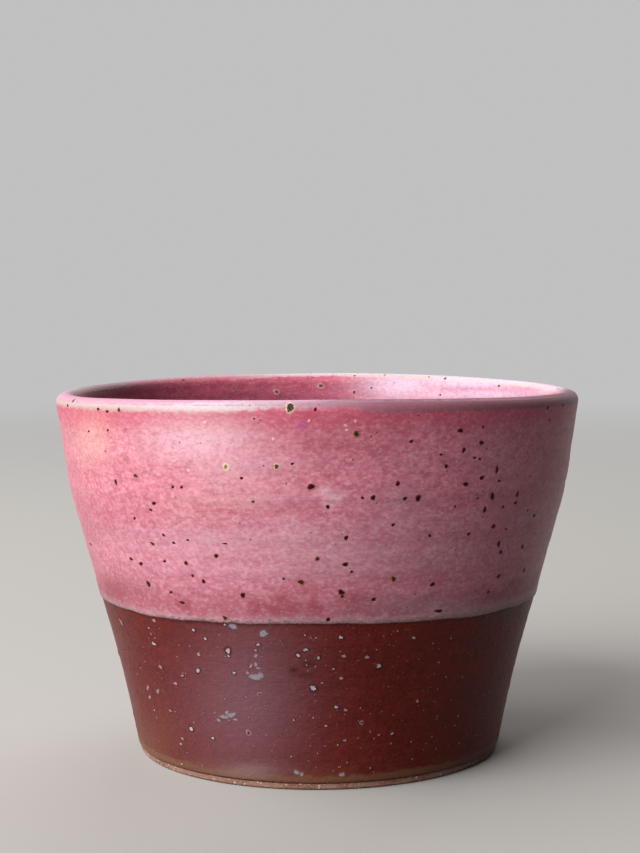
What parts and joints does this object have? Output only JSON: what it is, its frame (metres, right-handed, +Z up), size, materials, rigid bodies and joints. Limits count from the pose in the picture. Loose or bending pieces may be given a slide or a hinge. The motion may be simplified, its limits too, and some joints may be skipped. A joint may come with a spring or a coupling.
{
  "type": "studio pottery bowl",
  "caption": "Wheel-thrown stoneware bowl with a flaring wall, a rounded lip, a pink glaze lapping over an iron-red one, and a bare turned foot.",
  "frame": {"origin": "centre of the foot ring on the surface that the bowl stands on", "axes": "+Z up along the wheel's axis, through the middle of the foot and of the mouth; -Y is the side shown in the picture, where the dip line runs a little higher; +X is to the right in it"},
  "size_m": [0.1558, 0.1558, 0.1089],
  "materials": {
    "bare_stoneware": "matte, unglazed pinkish-beige stoneware with fine grog",
    "iron_red_glaze": "satin-gloss iron red that breaks ochre-brown near the foot, with small pale blisters",
    "pink_glaze": "satin pink, finely mottled, with dark iron specks and a pale cream break along the lip"
  },
  "bodies": {
    "root": {"clay_body": "bare_stoneware", "iron_red_glaze": "iron_red_glaze", "pink_glaze_outside": "pink_glaze", "pink_glaze_liner": "pink_glaze"}
  },
  "joints": []
}
